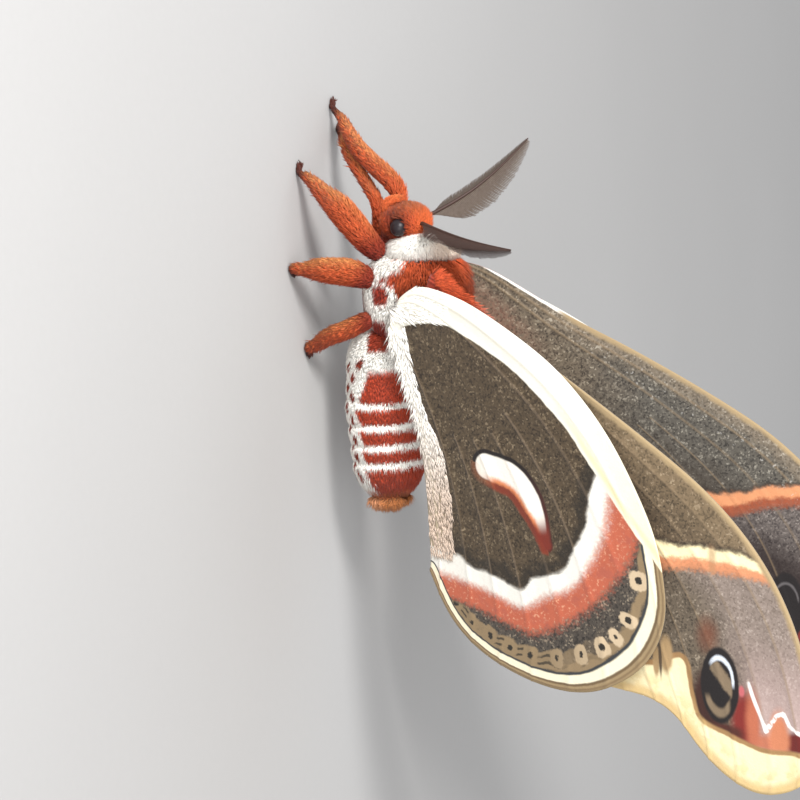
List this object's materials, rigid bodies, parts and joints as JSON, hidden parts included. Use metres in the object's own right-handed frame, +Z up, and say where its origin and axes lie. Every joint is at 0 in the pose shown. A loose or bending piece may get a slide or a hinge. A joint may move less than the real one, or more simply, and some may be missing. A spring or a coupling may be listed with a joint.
{
  "type": "cecropia moth, still life-size model",
  "caption": "Life-size still cecropia moth, a male standing with its broad patterned wings folded up over its furry banded body, its comb-like feelers spread",
  "frame": {"origin": "middle of the box's bottom, on the floor that the feet stand on", "axes": "+Z up, -Y the way the head points, +X the moth's left side"},
  "size_m": [0.0422, 0.0764, 0.063],
  "materials": {
    "head": "matte",
    "eye": "gloss",
    "collar": "matte",
    "thorax": "matte",
    "abdomen": "matte",
    "claspers": "matte",
    "antenna": "matte",
    "leg": "matte",
    "forewing": "matte",
    "hindwing": "matte"
  },
  "bodies": {
    "root": {"head": "head", "eye_left": "eye", "eye_right": "eye", "collar": "collar", "thorax": "thorax", "abdomen": "abdomen", "claspers": "claspers", "antenna_left": "antenna", "antenna_right": "antenna", "leg_fore_left": "leg", "leg_mid_left": "leg", "leg_hind_left": "leg", "leg_fore_right": "leg", "leg_mid_right": "leg", "leg_hind_right": "leg", "forewing_left": "forewing", "forewing_right": "forewing", "hindwing_left": "hindwing", "hindwing_right": "hindwing"}
  },
  "joints": []
}
